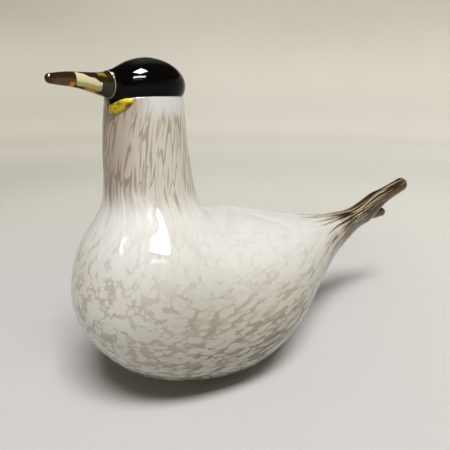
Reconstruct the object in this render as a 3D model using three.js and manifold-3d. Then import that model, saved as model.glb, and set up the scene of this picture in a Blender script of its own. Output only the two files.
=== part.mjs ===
// Blown-glass bird figurine: an opal white body drawn out into a neck and a forked tail, with a black
// head cap, a smoky amber beak and a drop of yellow glass at the throat.
// Units are millimetres and +Z is up. The beak points towards -X and the tail towards +X, and -Y is the
// bird's left. The origin is the centre of the flat ground on the underside, on which the bird stands.
import * as THREE from 'three';
import { mergeVertices } from 'three/addons/utils/BufferGeometryUtils.js';
import Module from 'manifold-3d';

// Neck and head
const NECK_X = -37.5;
const NECK_RADIUS = 19.9;
const SEAM_Z = 167;
const HEAD_TURN = THREE.MathUtils.degToRad(16);
const CHIN_DIP = 3.4;
const CHIN_SPREAD = THREE.MathUtils.degToRad(16);
const CHIN_TURN = THREE.MathUtils.degToRad(-3);
const JOINT_GAP = 0.3;

// Cap
const CAP_RADIUS = 20.8;
const CAP_WIDEST_Z = 171.5;
const CAP_RISE = 13.8;
const CAP_TUCK_REAR = 13;
const CAP_TUCK_CHIN = 28;
const FOREHEAD_SLOPE = 0.13;
const SNOUT_FILLET = 3;

// Beak, measured out from the neck's axis
const BEAK_ROOT = 21.9;
const BEAK_TIP = 53.2;
const BEAK_ROOT_RADIUS = 6.3;
const BEAK_ROOT_Z = 171.9;
const BEAK_TIP_RADIUS = 2.2;
const BEAK_TIP_Z = 173.9;

// Throat drop, placed by its turn round the neck from the beak's side
const DROP_FROM = THREE.MathUtils.degToRad(-8);
const DROP_TO = THREE.MathUtils.degToRad(35);
const DROP_HANG = 4.4;
const DROP_BULGE = 1.8;

// Foot
const GROUND_OFF = 0.8;

// Facets
const AROUND = 36;
const AROUND_SMALL = 20;
const ROWS_PER_SPAN = 4;

// The body's stations run from the seam under the cap down the neck and out to the tail. Each is a slice
// from the upper line (nape, back, top of the tail) to the lower line (throat, breast, belly, underside).
// [upper x, upper z, lower x, lower z, half width, sideways shift of the slice]
const BODY_STATIONS = [
  [NECK_X + NECK_RADIUS, SEAM_Z, NECK_X - NECK_RADIUS, SEAM_Z, NECK_RADIUS, 0],
  [-16.1, 142, -59.8, 144, 21.9, 0],
  [-13, 119.5, -60.6, 123, 23.9, 0],
  [-8.7, 107.4, -64.4, 106.3, 27.9, 0],
  [-0.4, 103, -78, 83.2, 38.9, 0],
  [7.4, 102, -81.2, 54.3, 47.3, 0],
  [16.6, 102.2, -65.1, 26.2, 51.5, 0],
  [29.1, 99.8, -39.7, 8.6, 52.3, 0],
  [45.7, 95.5, -2.5, -GROUND_OFF, 50.9, 0],
  [58.9, 92.1, 31.1, 6, 43.5, 0],
  [77.4, 87.8, 65.1, 28.6, 30.4, 0],
  [96.5, 84.4, 95.7, 47.6, 18.4, 0],
  [115.2, 83.5, 120.5, 60.6, 11.5, 0],
  [136.3, 85.8, 140.8, 71.2, 7.4, -0.5],
  [154, 93.6, 157.5, 81.5, 6.2, -2.5],
  [171.5, 99.4, 174.5, 88.3, 5.3, -4],
  [187, 104.2, 190.2, 93.8, 4.9, -5],
];
const LONG_PRONG_ROUND = 0.035;

// The short prong springs from inside the tail and ends lower and to the bird's right.
const SHORT_PRONG_STATIONS = [
  [120.5, 79.5, 122.5, 69.5, 5, 0.5],
  [136.5, 79.6, 138.5, 70.7, 4.6, 2.5],
  [151.5, 78.6, 153, 70.1, 4.3, 4.5],
  [166, 77.4, 167, 69.7, 4, 6.2],
  [180.3, 76.9, 181, 70, 3.6, 7.4],
];
const SHORT_PRONG_ROUND = 0.1;

const wasm = await Module();
wasm.setup();

/** A geometry's merged positions as a solid that can be joined and cut. */
function toSolid(geometry) {
  const bare = geometry.clone();
  bare.deleteAttribute('normal');
  bare.deleteAttribute('uv');
  const merged = mergeVertices(bare, 1e-5);
  const position = merged.attributes.position.array;
  const corners = Array.from(merged.index.array);
  const whole = [];
  for (let i = 0; i < corners.length; i += 3) {
    const [a, b, c] = corners.slice(i, i + 3);
    if (a !== b && b !== c && c !== a) whole.push(a, b, c);
  }
  const vertProperties = new Float32Array(position);
  const triVerts = new Uint32Array(whole);
  return new wasm.Manifold(new wasm.Mesh({ numProp: 3, vertProperties, triVerts }));
}

/** The three.js geometry of a solid. */
function toGeometry(solid) {
  const mesh = solid.getMesh();
  const geometry = new THREE.BufferGeometry();
  geometry.setAttribute('position', new THREE.BufferAttribute(new Float32Array(mesh.vertProperties), 3));
  geometry.setIndex(new THREE.BufferAttribute(new Uint32Array(mesh.triVerts), 1));
  geometry.computeVertexNormals();
  return geometry;
}

/** Moves every vertex of a geometry to the place that a function gives for it. */
function reshape(geometry, place) {
  const position = geometry.attributes.position;
  const point = new THREE.Vector3();
  for (let i = 0; i < position.count; i += 1) {
    point.fromBufferAttribute(position, i);
    place(point);
    position.setXYZ(i, point.x, point.y, point.z);
  }
  return geometry;
}

/** How far the seam drops below SEAM_Z at a place given from the neck's axis, beak side along -X. */
function chinDrop(x, y) {
  const turn = (Math.atan2(-y, -x) - CHIN_TURN) / CHIN_SPREAD;
  const reach = Math.min(Math.hypot(x, y) / NECK_RADIUS, 1);
  return CHIN_DIP * Math.exp(-turn * turn / 2) * reach * reach;
}

/** The same drop for a place in the body's frame, where the head is turned on the neck. */
function chinDropOnBody(x, y) {
  const turned = new THREE.Vector2(x - NECK_X, y).rotateAround(new THREE.Vector2(), -HEAD_TURN);
  return chinDrop(turned.x, turned.y);
}

/**
 * A closed skin over a row of stations: a unit lathe, one high and one in radius, whose height runs along
 * the stations and whose radius fills each slice. A rounded end takes the given share of the height.
 */
function skinOver(stations, around, roundStart, roundEnd) {
  const upper = new THREE.CatmullRomCurve3(stations.map((s) => new THREE.Vector3(s[0], s[5], s[1])));
  const lower = new THREE.CatmullRomCurve3(stations.map((s) => new THREE.Vector3(s[2], s[4], s[3])));
  upper.curveType = 'catmullrom';
  lower.curveType = 'catmullrom';
  const profile = [new THREE.Vector2(0, 0)];
  const rounds = 5;
  for (let i = 1; i < rounds && roundStart > 0; i += 1) {
    const angle = (i / rounds) * Math.PI / 2;
    profile.push(new THREE.Vector2(Math.sin(angle), roundStart * (1 - Math.cos(angle))));
  }
  if (roundStart === 0) profile.push(new THREE.Vector2(0.5, 0));
  const rows = (stations.length - 1) * ROWS_PER_SPAN;
  for (let i = 0; i <= rows; i += 1) {
    profile.push(new THREE.Vector2(1, THREE.MathUtils.lerp(roundStart, 1 - roundEnd, i / rows)));
  }
  for (let i = 1; i < rounds; i += 1) {
    const angle = (i / rounds) * Math.PI / 2;
    profile.push(new THREE.Vector2(Math.cos(angle), 1 - roundEnd + roundEnd * Math.sin(angle)));
  }
  profile.push(new THREE.Vector2(0, 1));
  const top = new THREE.Vector3();
  const bottom = new THREE.Vector3();
  return reshape(new THREE.LatheGeometry(profile, around), (p) => {
    const along = THREE.MathUtils.clamp(p.y, 0, 1);
    upper.getPoint(along, top);
    lower.getPoint(along, bottom);
    const toLower = (1 - p.z) / 2;
    const x = THREE.MathUtils.lerp(top.x, bottom.x, toLower);
    const z = THREE.MathUtils.lerp(top.z, bottom.z, toLower);
    p.set(x, top.y - p.x * bottom.y, z);
  });
}

/** The opal body with its neck, cut flat under the belly, and both prongs of the tail. */
function bodyGeometry() {
  const body = skinOver(BODY_STATIONS, AROUND, 0, LONG_PRONG_ROUND);
  reshape(body, (p) => {
    const nearSeam = THREE.MathUtils.smoothstep(p.z, SEAM_Z - 18, SEAM_Z);
    p.z -= nearSeam * (chinDropOnBody(p.x, p.y) + JOINT_GAP / 2);
  });
  const shortProng = skinOver(SHORT_PRONG_STATIONS, AROUND_SMALL, SHORT_PRONG_ROUND, SHORT_PRONG_ROUND);
  const floor = new THREE.BoxGeometry(80, 80, 10).translate(0, 0, -5);
  return toGeometry(toSolid(body).add(toSolid(shortProng)).subtract(toSolid(floor)));
}

/** Signed depth inside the dome of the cap, in millimetres, at a place in the head's frame. */
function domeDepth(p) {
  const front = Math.exp(-((Math.atan2(p.y, -p.x) / 0.6) ** 2));
  const below = THREE.MathUtils.lerp(CAP_TUCK_REAR, CAP_TUCK_CHIN, front);
  const height = p.z - CAP_WIDEST_Z;
  const lift = height > 0 ? (height + FOREHEAD_SLOPE * Math.max(-p.x, 0)) / CAP_RISE : height / below;
  const reach = Math.hypot(p.x / CAP_RADIUS, p.y / CAP_RADIUS, lift);
  return (1 - reach) * CAP_RISE;
}

/** Signed depth inside the root of the beak, which swells out of the dome towards the beak. */
function snoutDepth(p) {
  const flare = THREE.MathUtils.clamp(BEAK_ROOT + p.x, 0, 12) * 0.25;
  return BEAK_ROOT_RADIUS + flare - Math.hypot(p.y, p.z - BEAK_ROOT_Z);
}

/** The two depths joined with a soft fillet where the root runs into the dome. */
function capDepth(p) {
  const dome = domeDepth(p);
  const snout = Math.min(snoutDepth(p), -p.x);
  const mix = Math.max(SNOUT_FILLET - Math.abs(dome - snout), 0) / SNOUT_FILLET;
  return Math.min(Math.max(dome, snout) + mix * mix * SNOUT_FILLET / 4, BEAK_ROOT + p.x);
}

/** The black cap in the head's frame: rings round the beak's axis, pushed out to the cap's skin. */
function capGeometry() {
  const heart = new THREE.Vector3(-2, 0, BEAK_ROOT_Z);
  const cap = new THREE.SphereGeometry(1, AROUND, 30);
  cap.rotateZ(Math.PI / 2);
  const trial = new THREE.Vector3();
  reshape(cap, (p) => {
    const direction = p.clone().normalize();
    let inside = 0;
    let outside = 40;
    for (let step = 0; step < 40; step += 1) {
      const middle = (inside + outside) / 2;
      trial.copy(heart).addScaledVector(direction, middle);
      if (capDepth(trial) > 0) inside = middle;
      else outside = middle;
    }
    p.copy(heart).addScaledVector(direction, inside);
  });
  const seatProfile = [[0, -30], [30, -30], [30, 0], [20, 0], [14, 0], [8, 0], [0, 0]];
  const seat = new THREE.LatheGeometry(seatProfile.map(([r, z]) => new THREE.Vector2(r, z)), 72);
  seat.rotateX(Math.PI / 2);
  reshape(seat, (p) => {
    if (p.z > -1) p.z -= chinDrop(p.x, p.y);
    p.z += SEAM_Z + JOINT_GAP / 2;
  });
  return toGeometry(toSolid(cap).subtract(toSolid(seat)));
}

/** The beak in the head's frame: a drawn rod, flared at its root and round at its tip. */
function beakGeometry() {
  const length = BEAK_TIP - BEAK_ROOT - JOINT_GAP;
  const outline = new THREE.SplineCurve([
    new THREE.Vector2(BEAK_ROOT_RADIUS, 0),
    new THREE.Vector2(5.8, 1.5),
    new THREE.Vector2(4.8, 6.5),
    new THREE.Vector2(3.7, 14.3),
    new THREE.Vector2(2.85, 24),
    new THREE.Vector2(BEAK_TIP_RADIUS, length - BEAK_TIP_RADIUS),
  ]);
  const profile = [new THREE.Vector2(0, 0), new THREE.Vector2(BEAK_ROOT_RADIUS / 2, 0)];
  profile.push(...outline.getPoints(16));
  for (let i = 1; i <= 5; i += 1) {
    const angle = (i / 5) * Math.PI / 2;
    const radius = i === 5 ? 0 : BEAK_TIP_RADIUS * Math.cos(angle);
    profile.push(new THREE.Vector2(radius, length - BEAK_TIP_RADIUS * (1 - Math.sin(angle))));
  }
  const beak = new THREE.LatheGeometry(profile, AROUND_SMALL);
  beak.rotateZ(Math.PI / 2);
  return reshape(beak, (p) => {
    const along = THREE.MathUtils.smoothstep(-p.x, 0, length * 0.7);
    p.z += THREE.MathUtils.lerp(BEAK_ROOT_Z, BEAK_TIP_Z, along);
    p.x -= BEAK_ROOT + JOINT_GAP;
  });
}

/** The throat drop in the head's frame: a lens of glass on the neck, full along its upper edge. */
function dropGeometry() {
  const middle = (DROP_FROM + DROP_TO) / 2;
  const half = (DROP_TO - DROP_FROM) / 2;
  return reshape(new THREE.SphereGeometry(1, AROUND_SMALL, 14), (p) => {
    const turn = middle + half * p.x;
    const drop = chinDrop(-Math.cos(turn) * NECK_RADIUS, -Math.sin(turn) * NECK_RADIUS);
    const waist = SEAM_Z - drop - 1.3;
    const z = waist + p.y * (p.y > 0 ? 1 : DROP_HANG);
    const bulge = p.z > 0 ? DROP_BULGE * p.z ** 0.7 : 0;
    const neckRadius = NECK_RADIUS + (SEAM_Z - z) * 0.06;
    const reach = neckRadius + JOINT_GAP + bulge;
    p.set(-Math.cos(turn) * reach, -Math.sin(turn) * reach, z);
  });
}

/** A smooth glass of one colour. */
function glass(color, roughness) {
  return new THREE.MeshStandardMaterial({ color, roughness, metalness: 0 });
}

/** A named sub-part. */
function piece(name, geometry, material) {
  const mesh = new THREE.Mesh(geometry, material);
  mesh.name = name;
  return mesh;
}

const bird = new THREE.Group();
bird.add(piece('body', bodyGeometry(), glass(0xd6d0c2, 0.12)));

const head = new THREE.Group();
head.position.x = NECK_X;
head.rotation.z = HEAD_TURN;
head.add(piece('head_cap', capGeometry(), glass(0x0c0a0a, 0.06)));
head.add(piece('beak', beakGeometry(), glass(0x5a4524, 0.06)));
head.add(piece('throat_drop', dropGeometry(), glass(0xc9961a, 0.08)));
bird.add(head);

export default bird;
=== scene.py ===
"""Blown-glass bird figurine, dressed: an opal body with white chips and taupe streaks, drawn out into a neck
and a forked tail, with a black cap, a smoky amber beak and a drop of yellow glass at the throat.

Lengths are metres and +Z is up. The beak points towards -X, the tail towards +X, and -Y is the bird's
left. The origin is the centre of the flat ground on the underside.
"""
import logging
import math
from dataclasses import dataclass, field
from enum import Enum
from typing import Iterable, Union

import bmesh
import bpy
import numpy as np
from mathutils import Matrix, Vector


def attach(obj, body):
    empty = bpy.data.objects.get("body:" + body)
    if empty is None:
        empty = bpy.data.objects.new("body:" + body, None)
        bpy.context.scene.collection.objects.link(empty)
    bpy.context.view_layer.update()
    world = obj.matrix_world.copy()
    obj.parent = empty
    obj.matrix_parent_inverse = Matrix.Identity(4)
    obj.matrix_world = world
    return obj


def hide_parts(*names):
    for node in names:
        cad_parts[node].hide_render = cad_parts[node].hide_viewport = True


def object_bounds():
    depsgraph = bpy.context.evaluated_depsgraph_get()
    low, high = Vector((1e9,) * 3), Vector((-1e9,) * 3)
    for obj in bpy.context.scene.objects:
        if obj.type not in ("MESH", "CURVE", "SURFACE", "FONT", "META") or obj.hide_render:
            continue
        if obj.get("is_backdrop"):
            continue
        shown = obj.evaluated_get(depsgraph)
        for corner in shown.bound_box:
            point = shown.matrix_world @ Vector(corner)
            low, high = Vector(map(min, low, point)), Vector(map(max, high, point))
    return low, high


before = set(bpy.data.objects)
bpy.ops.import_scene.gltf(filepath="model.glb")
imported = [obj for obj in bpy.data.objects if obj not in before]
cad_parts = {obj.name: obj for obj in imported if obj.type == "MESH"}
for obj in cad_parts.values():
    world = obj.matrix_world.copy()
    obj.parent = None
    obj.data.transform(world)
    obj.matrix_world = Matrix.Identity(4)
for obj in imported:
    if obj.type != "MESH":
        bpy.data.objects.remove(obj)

LOG = logging.getLogger("glass_bird")
MM = 0.001

Triple = tuple[float, float, float]
Colour = Triple
Span = tuple[float, float]
Station = tuple[float, float, float, float, float, float]


class Slot(Enum):
    """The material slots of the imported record."""

    OPAL = "opal_glass"
    BLACK = "black_glass"
    AMBER = "amber_glass"
    YELLOW = "yellow_glass"


def tint(red: float, green: float, blue: float) -> Colour:
    """A colour read off a screen, 0 to 255, as the linear colour that a shader takes."""
    def linear(level: float) -> float:
        """One channel without its screen curve."""
        share = level / 255
        return share / 12.92 if share <= 0.04045 else ((share + 0.055) / 1.055) ** 2.4
    return linear(red), linear(green), linear(blue)


def smoothstep(value: float, low: float, high: float) -> float:
    """0 below low, 1 above high and a smooth ramp between them."""
    share = min(max((value - low) / (high - low), 0.0), 1.0)
    return share * share * (3 - 2 * share)


def catmull_rom(points: list[Vector], share: float) -> Vector:
    """A point on the smooth line through a row of points.

    Args:
        points: The points that the line passes through.
        share: How far along, from 0 to 1, with the same share for each span.

    Returns:
        The point on the line.
    """
    place = min(max(share, 0.0), 1.0) * (len(points) - 1)
    span = min(int(place), len(points) - 2)
    part = place - span
    before = points[span - 1] if span else points[0] * 2 - points[1]
    start, end = points[span], points[span + 1]
    after = points[span + 2] if span + 2 < len(points) else points[-1] * 2 - points[-2]
    pull_start, pull_end = (end - before) / 2, (after - start) / 2
    return (start
            + pull_start * part
            + (start * -3 + end * 3 - pull_start * 2 - pull_end) * part ** 2
            + (start * 2 - end * 2 + pull_start + pull_end) * part ** 3)


def middle_of(vertices: Iterable[bmesh.types.BMVert]) -> Vector:
    """The mean place of some vertices."""
    places = [vertex.co for vertex in vertices]
    return sum(places, Vector()) / len(places)


# Shader recipes

class Signal:
    """A socket that carries a number, so that sums on it are written as Python expressions."""

    def __init__(self, recipe: "Recipe", socket: bpy.types.NodeSocket) -> None:
        """Wraps a socket of a recipe."""
        self.recipe = recipe
        self.socket = socket

    def _sum(self, operation: str, first: "Operand", second: "Operand") -> "Signal":
        """The result of a Math node on two numbers."""
        node = self.recipe.node("ShaderNodeMath", {"operation": operation}, {0: first, 1: second})
        return Signal(self.recipe, node.outputs[0])

    def __add__(self, other: "Operand") -> "Signal":
        """self + other."""
        return self._sum("ADD", self, other)

    def __radd__(self, other: "Operand") -> "Signal":
        """other + self."""
        return self._sum("ADD", other, self)

    def __sub__(self, other: "Operand") -> "Signal":
        """self - other."""
        return self._sum("SUBTRACT", self, other)

    def __rsub__(self, other: "Operand") -> "Signal":
        """other - self."""
        return self._sum("SUBTRACT", other, self)

    def __mul__(self, other: "Operand") -> "Signal":
        """self * other."""
        return self._sum("MULTIPLY", self, other)

    def at_least(self, other: "Operand") -> "Signal":
        """The greater of the two."""
        return self._sum("MAXIMUM", self, other)


Operand = Union[Signal, float]
Wire = Union[Signal, bpy.types.NodeSocket, float, tuple, Vector]


class Recipe:
    """The node tree of one glass, with the shader that it ends in."""

    def __init__(self, name: str) -> None:
        """Starts a material with an empty tree and its output."""
        self.material = bpy.data.materials.new(name)
        self.material.use_nodes = True
        self.tree = self.material.node_tree
        self.tree.nodes.clear()
        self.output = self.tree.nodes.new("ShaderNodeOutputMaterial")

    def node(self, kind: str, settings: dict | None = None, inputs: dict | None = None) -> bpy.types.Node:
        """Adds a node.

        Args:
            kind: The node's type.
            settings: Its own properties, set first.
            inputs: Values or links of its sockets, by name or number.

        Returns:
            The node.
        """
        node = self.tree.nodes.new(kind)
        for name, value in (settings or {}).items():
            setattr(node, name, value)
        for name, wire in (inputs or {}).items():
            socket = node.inputs[name]
            if isinstance(wire, Signal):
                self.tree.links.new(wire.socket, socket)
            elif isinstance(wire, bpy.types.NodeSocket):
                self.tree.links.new(wire, socket)
            elif isinstance(wire, tuple) and socket.type == "RGBA":
                socket.default_value = (*wire, 1.0)
            else:
                socket.default_value = wire
        return node

    def number(self, kind: str, settings: dict | None, inputs: dict, output: Union[int, str] = 0) -> Signal:
        """A new node's output as a number."""
        return Signal(self, self.node(kind, settings, inputs).outputs[output])

    def vector(self, operation: str, inputs: dict, output: Union[int, str] = 0) -> bpy.types.NodeSocket:
        """An output of a new Vector Math node."""
        return self.node("ShaderNodeVectorMath", {"operation": operation}, inputs).outputs[output]

    def step(self, value: Signal, low: Operand, high: Operand) -> Signal:
        """0 where the value is below low, 1 above high and smooth between."""
        return self.number("ShaderNodeMapRange", {"interpolation_type": "SMOOTHSTEP"},
                           {"Value": value, "From Min": low, "From Max": high})

    def noise(self, place: Wire, scale: float, detail: float = 2.0, roughness: float = 0.5,
              distortion: float = 0.0) -> Signal:
        """Cloudy noise at a place, about 0.5 on average."""
        return self.number("ShaderNodeTexNoise", None, {
            "Vector": place, "Scale": scale, "Detail": detail, "Roughness": roughness,
            "Distortion": distortion})

    def warped(self, place: Wire, scale: float, reach: float) -> bpy.types.NodeSocket:
        """A place that is pushed about by noise, by up to about half the reach."""
        drift = self.node("ShaderNodeTexNoise", None, {"Vector": place, "Scale": scale, "Detail": 2.0})
        centred = self.vector("SUBTRACT", {0: drift.outputs["Color"], 1: (0.5, 0.5, 0.5)})
        scaled = self.vector("SCALE", {0: centred, "Scale": reach})
        return self.vector("ADD", {0: place, 1: scaled})

    def chips(self, place: Wire, layer: "Chips", more: Operand = 0.0) -> Signal:
        """Rounded chips strewn about, which merge where they meet.

        Args:
            place: Where the pattern is read.
            layer: The layer that the chips lie in.
            more: How much larger than the layer says they are here, in gaps between chips.

        Returns:
            1 on a chip, 0 between chips.
        """
        cell = self.node("ShaderNodeTexVoronoi", {"feature": "F1"}, {
            "Vector": self.mapped(place, layer.shift), "Scale": layer.scale})
        draw = self.node("ShaderNodeSeparateXYZ", None, {0: cell.outputs["Color"]})
        size = (Signal(self, draw.outputs[0]) - 0.5) * layer.spread + (more + layer.cover)
        return self.step(size - Signal(self, cell.outputs["Distance"]), -layer.softness, layer.softness)

    def mapped(self, place: Wire, shift: Triple = (0, 0, 0),
               scale: Triple = (1, 1, 1)) -> bpy.types.NodeSocket:
        """A place that is shifted and scaled."""
        return self.node("ShaderNodeMapping", None, {
            "Vector": place, "Location": shift, "Scale": scale}).outputs[0]

    def part_of(self, place: Wire, axis: int) -> Signal:
        """The x, y or z of a place, as axis 0, 1 or 2."""
        return self.number("ShaderNodeSeparateXYZ", None, {0: place}, axis)

    def here(self) -> bpy.types.NodeSocket:
        """The place of a point in its piece."""
        return self.node("ShaderNodeTexCoord").outputs["Object"]

    def noted(self, name: str, output: str) -> bpy.types.NodeSocket:
        """What the mesh notes at a point under a name."""
        return self.node("ShaderNodeAttribute", {"attribute_name": name}).outputs[output]

    def blend(self, share: Operand, first: Wire, second: Wire) -> bpy.types.NodeSocket:
        """The first colour where the share is 0 and the second where it is 1."""
        node = self.node("ShaderNodeMix", {"data_type": "RGBA"}, {0: share, 6: first, 7: second})
        return node.outputs[2]

    def finish(self, inputs: dict) -> bpy.types.Material:
        """Ends the tree in a Principled shader with these inputs.

        Args:
            inputs: Values or links of the shader's sockets, by name.

        Returns:
            The material.
        """
        shader = self.node("ShaderNodeBsdfPrincipled", None, inputs)
        self.tree.links.new(shader.outputs[0], self.output.inputs["Surface"])
        return self.material


@dataclass(frozen=True)
class Chips:
    """A layer of crushed glass.

    scale is how many chips there are in one unit of the place, cover the size of an average chip in gaps
    between chips, spread how far the sizes differ, softness how soft the edges are, and shift sets the layer
    apart from the others.
    """

    scale: float
    cover: float
    spread: float
    softness: float
    shift: Triple = (0, 0, 0)


@dataclass(frozen=True)
class Reading:
    """What a shader knows about a point of the opal body.

    flow is its place on the glass before it was drawn out, and station how far along the body it lies. nape
    runs from -1 at the lower side to 1 at the upper side, and near from -1 at +Y to 1 at -Y. ragged is
    cloudy noise about 0.
    """

    place: bpy.types.NodeSocket
    height: Signal
    flow: bpy.types.NodeSocket
    station: Signal
    nape: Signal
    near: Signal
    ragged: Signal

    @classmethod
    def of(cls, r: Recipe) -> "Reading":
        """The reading of a recipe."""
        place, flow = r.here(), r.noted(Gather.FLOW, "Vector")
        return cls(
            place=place,
            height=r.part_of(place, 2),
            flow=flow,
            station=Signal(r, r.noted(Gather.STATION, "Fac")),
            nape=r.part_of(flow, 0),
            near=0 - r.part_of(flow, 1),
            ragged=(r.noise(r.mapped(flow, scale=(3, 3, 1)), 3.0) - 0.5) * 3.0)


@dataclass(frozen=True)
class OpalGlass:
    """Opal glass with white chips over taupe, which are drawn into streaks on the neck and the tail, with
    painted shade low on the body and painted light on the breast.

    Each pair of heights or stations is where a change starts and where it ends.
    """

    # The deep taupe, the milk and the low white are the glass's own low colours, darkened further by painted
    # shade.
    shaded_deep_taupe: Colour = tint(92, 83, 68)
    pale_taupe: Colour = tint(158, 151, 137)
    # The front taupe and the front white are painted light, which makes the breast paler.
    lit_front_taupe: Colour = tint(184, 176, 166)
    milk: Colour = tint(124, 117, 101)
    pale_milk: Colour = tint(170, 165, 153)
    shaded_low_white: Colour = tint(166, 162, 150)
    white: Colour = tint(177, 174, 164)
    lit_front_white: Colour = tint(199, 196, 191)
    veil: Colour = tint(231, 230, 227)
    shade_and_cover_heights: Span = (0.005, 0.085)
    foot_shade_heights: Span = (0.002, 0.026)
    veil_heights: Span = (0.066, 0.108)
    lit_front_stations: Span = (5.5, 7.5)
    rear_shade_stations: Span = (6.5, 9.0)
    strip_stations: Span = (9.4, 10.8)
    deep_chips: Chips = Chips(8.0, 0.46, 0.25, 0.12, (3, 1, 7))
    crisp_chips: Chips = Chips(9.0, 0.4, 0.35, 0.07)
    fine_chips: Chips = Chips(14.0, 0.32, 0.35, 0.1, (1, 5, 2))
    painted_foot_shade: float = 0.4
    strip_white: float = 0.62

    neck_taupe: Colour = tint(138, 125, 108)
    neck_brown: Colour = tint(116, 90, 70)
    neck_white: Colour = tint(186, 181, 170)
    # A whiter band of the glass under the cap, with a painted soft highlight over it.
    neck_brim_sheen: Colour = tint(200, 200, 199)
    neck_stations: Span = (1.8, 2.9)
    brim_sheen_heights: Span = (0.154, 0.162)
    neck_flecks: Chips = Chips(13.0, 0.27, 0.4, 0.14, (6, 4, 1))
    neck_cells: float = 9.0
    fleck_dark: float = 0.8
    streak_dark: float = 0.78
    throat_brown: float = 0.45
    brim_sheen_share: float = 0.85

    tail_brown: Colour = tint(52, 38, 22)
    tail_olive: Colour = tint(98, 82, 56)
    tail_cream: Colour = tint(167, 156, 135)
    tail_stations: Span = (10.7, 12.1)
    root_stations: Span = (10.6, 12.2)
    prong_stations: Span = (12.0, 17.0)
    stub_stations: Span = (14.0, 15.0)
    stub_heights: Span = (0.078, 0.084)
    tip_stations: Span = (17.0, 17.4)
    olive_from: Span = (0.44, 0.53)
    cream_from: Span = (0.53, 0.62)
    threads: float = 5.2
    thread_twist: float = 0.13
    stub_dark: float = 0.92

    def material(self) -> bpy.types.Material:
        """The finished material."""
        r = Recipe("opal_glass")
        at = Reading.of(r)
        neck = 1 - r.step(at.station + at.ragged * 0.4, *self.neck_stations)
        colour = r.blend(neck, self._belly(r, at), self._neck(r, at))
        tail = r.step(at.station + at.nape * 0.6 + at.ragged * 1.9, *self.tail_stations)
        colour = r.blend(tail, colour, self._tail(r, at))
        ripple = r.noise(at.place, 60.0, 1.0)
        normal = r.node("ShaderNodeBump", None, {"Strength": 0.04, "Distance": MM, "Height": ripple})
        return r.finish({
            "Base Color": colour, "Roughness": 0.5, "IOR": 1.5, "Specular IOR Level": 0.0,
            "Coat Weight": 1.0, "Coat Roughness": 0.012, "Coat IOR": 1.45, "Normal": normal.outputs[0]})

    def _belly(self, r: Recipe, at: Reading) -> bpy.types.NodeSocket:
        """The colour of the belly and of the shoulders and back under their white veil: the glass's own
        denser taupe low down, with painted shade over it that is darkest at the foot and low at the rear, and
        painted light that makes the breast paler.

        Args:
            r: The recipe.
            at: What is known about the point.

        Returns:
            The colour.
        """
        # Painted light on the breast: the front is made paler here, in the level and in the veil.
        front = r.step(0 - at.nape, -0.3, 0.7) * (1 - r.step(at.station, *self.lit_front_stations))
        # Painted shade: the level sinks low at the rear and on the lower side, which darkens them as well as
        # giving them the glass's real denser taupe.
        rear = r.step(at.station, *self.rear_shade_stations)
        level = at.height + at.nape * 0.02 + front * 0.03 + at.ragged * 0.006 - rear * 0.018
        upper = r.step(level, *self.shade_and_cover_heights)

        # Chips that lie deep are soft and milky, and those on top are crisp and white
        wavy = r.warped(r.warped(at.flow, 9.0, 0.09), 24.0, 0.035)
        more = upper * 0.1
        deep = r.chips(wavy, self.deep_chips, more)
        top = r.chips(wavy, self.crisp_chips, more).at_least(r.chips(wavy, self.fine_chips, more))
        taupe = r.blend(upper, self.shaded_deep_taupe, r.blend(front, self.pale_taupe, self.lit_front_taupe))
        milk = r.blend(upper, self.milk, self.pale_milk)
        white = r.blend(upper, self.shaded_low_white, r.blend(front, self.white, self.lit_front_white))
        colour = r.blend(top, r.blend(deep, taupe, milk), white)
        # Painted shade at the foot.
        foot = (1 - r.step(at.height, *self.foot_shade_heights)) * self.painted_foot_shade
        colour = r.blend(foot, colour, self.shaded_deep_taupe)

        # The veil is thicker on the breast as painted light.
        thickness = 0.46 + front * 0.38 + r.step(at.nape, 0.4, 0.9) * 0.16
        veil = r.step(at.height + at.nape * 0.014 + at.ragged * 0.004, *self.veil_heights) * thickness
        strip = r.step(at.station, *self.strip_stations) * r.step(0 - at.nape, 0.2, 0.8) * self.strip_white
        return r.blend(veil.at_least(strip), colour, self.veil)

    def _neck(self, r: Recipe, at: Reading) -> bpy.types.NodeSocket:
        """The colour of the neck: long white chips with thin taupe lines between them, browner at the throat,
        and under the cap a whiter band that is partly the glass's own white and partly a painted soft
        highlight.

        Args:
            r: The recipe.
            at: What is known about the point.

        Returns:
            The colour.
        """
        swaying = r.warped(at.flow, 5.0, 0.11)
        edge = r.number("ShaderNodeTexVoronoi", {"feature": "DISTANCE_TO_EDGE"}, {
            "Vector": r.mapped(swaying, (2, 4, 4)), "Scale": self.neck_cells})
        width = (r.noise(r.mapped(at.flow, (1, 1, 6), (1, 1, 1.5)), 6.0) - 0.46) * 0.5
        lines = 1 - r.step(edge - width, -0.02, 0.06)
        flecks = r.chips(swaying, self.neck_flecks) * self.fleck_dark
        throat = r.step(at.near * 0.3 - at.nape, 0.5, 1.1)
        dark = r.blend(throat, self.neck_taupe, self.neck_brown)
        light = r.blend(throat * self.throat_brown, self.neck_white, self.neck_brown)
        colour = r.blend(lines.at_least(flecks) * self.streak_dark, light, dark)
        # Away from the throat, under the cap: the glass's whiter band, partly a painted soft highlight.
        away_from_throat = r.step(at.nape + at.near * 0.35 + at.ragged * 0.06, -0.2, 0.15)
        brim_sheen = r.step(at.height + at.ragged * 0.003, *self.brim_sheen_heights) * away_from_throat
        return r.blend(brim_sheen * self.brim_sheen_share, colour, self.neck_brim_sheen)

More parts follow.
